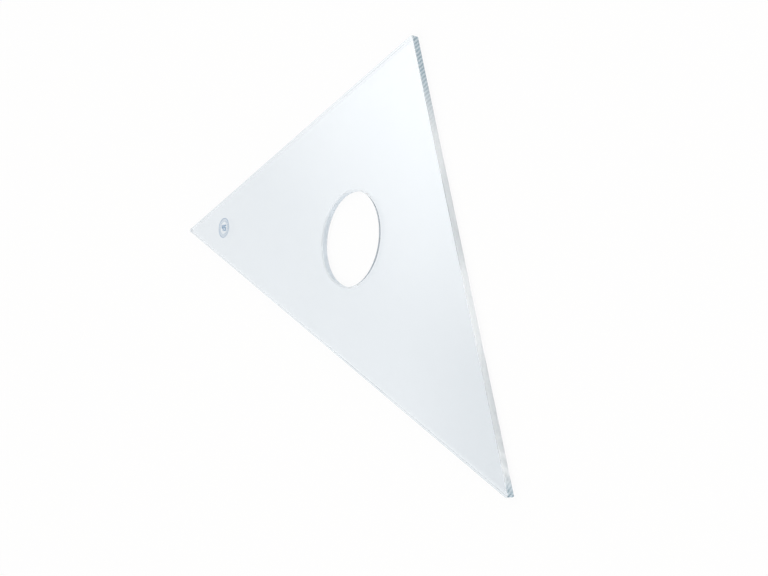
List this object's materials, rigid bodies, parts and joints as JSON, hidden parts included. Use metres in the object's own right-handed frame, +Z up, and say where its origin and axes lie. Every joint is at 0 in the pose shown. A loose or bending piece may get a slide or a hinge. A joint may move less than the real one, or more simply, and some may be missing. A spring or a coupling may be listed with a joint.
{
  "type": "navigation triangle",
  "caption": "Flat clear acrylic right-angled triangle with equal short sides, a round finger hole and a small printed ring at one sharp corner, for drawing and carrying lines across a chart.",
  "frame": {"origin": "middle of the plate's box, on the face that lies on the chart", "axes": "+X along the long edge, +Y towards the right-angled corner, +Z up from the chart to the printed face"},
  "size_m": [0.2518, 0.1266, 0.003],
  "materials": {
    "clear_acrylic": "polished faces, cut edges with fine slanted cutter marks",
    "blue_ink": "thin screen print"
  },
  "bodies": {
    "root": {"plate": "clear_acrylic", "printed_mark": "blue_ink"}
  },
  "joints": []
}
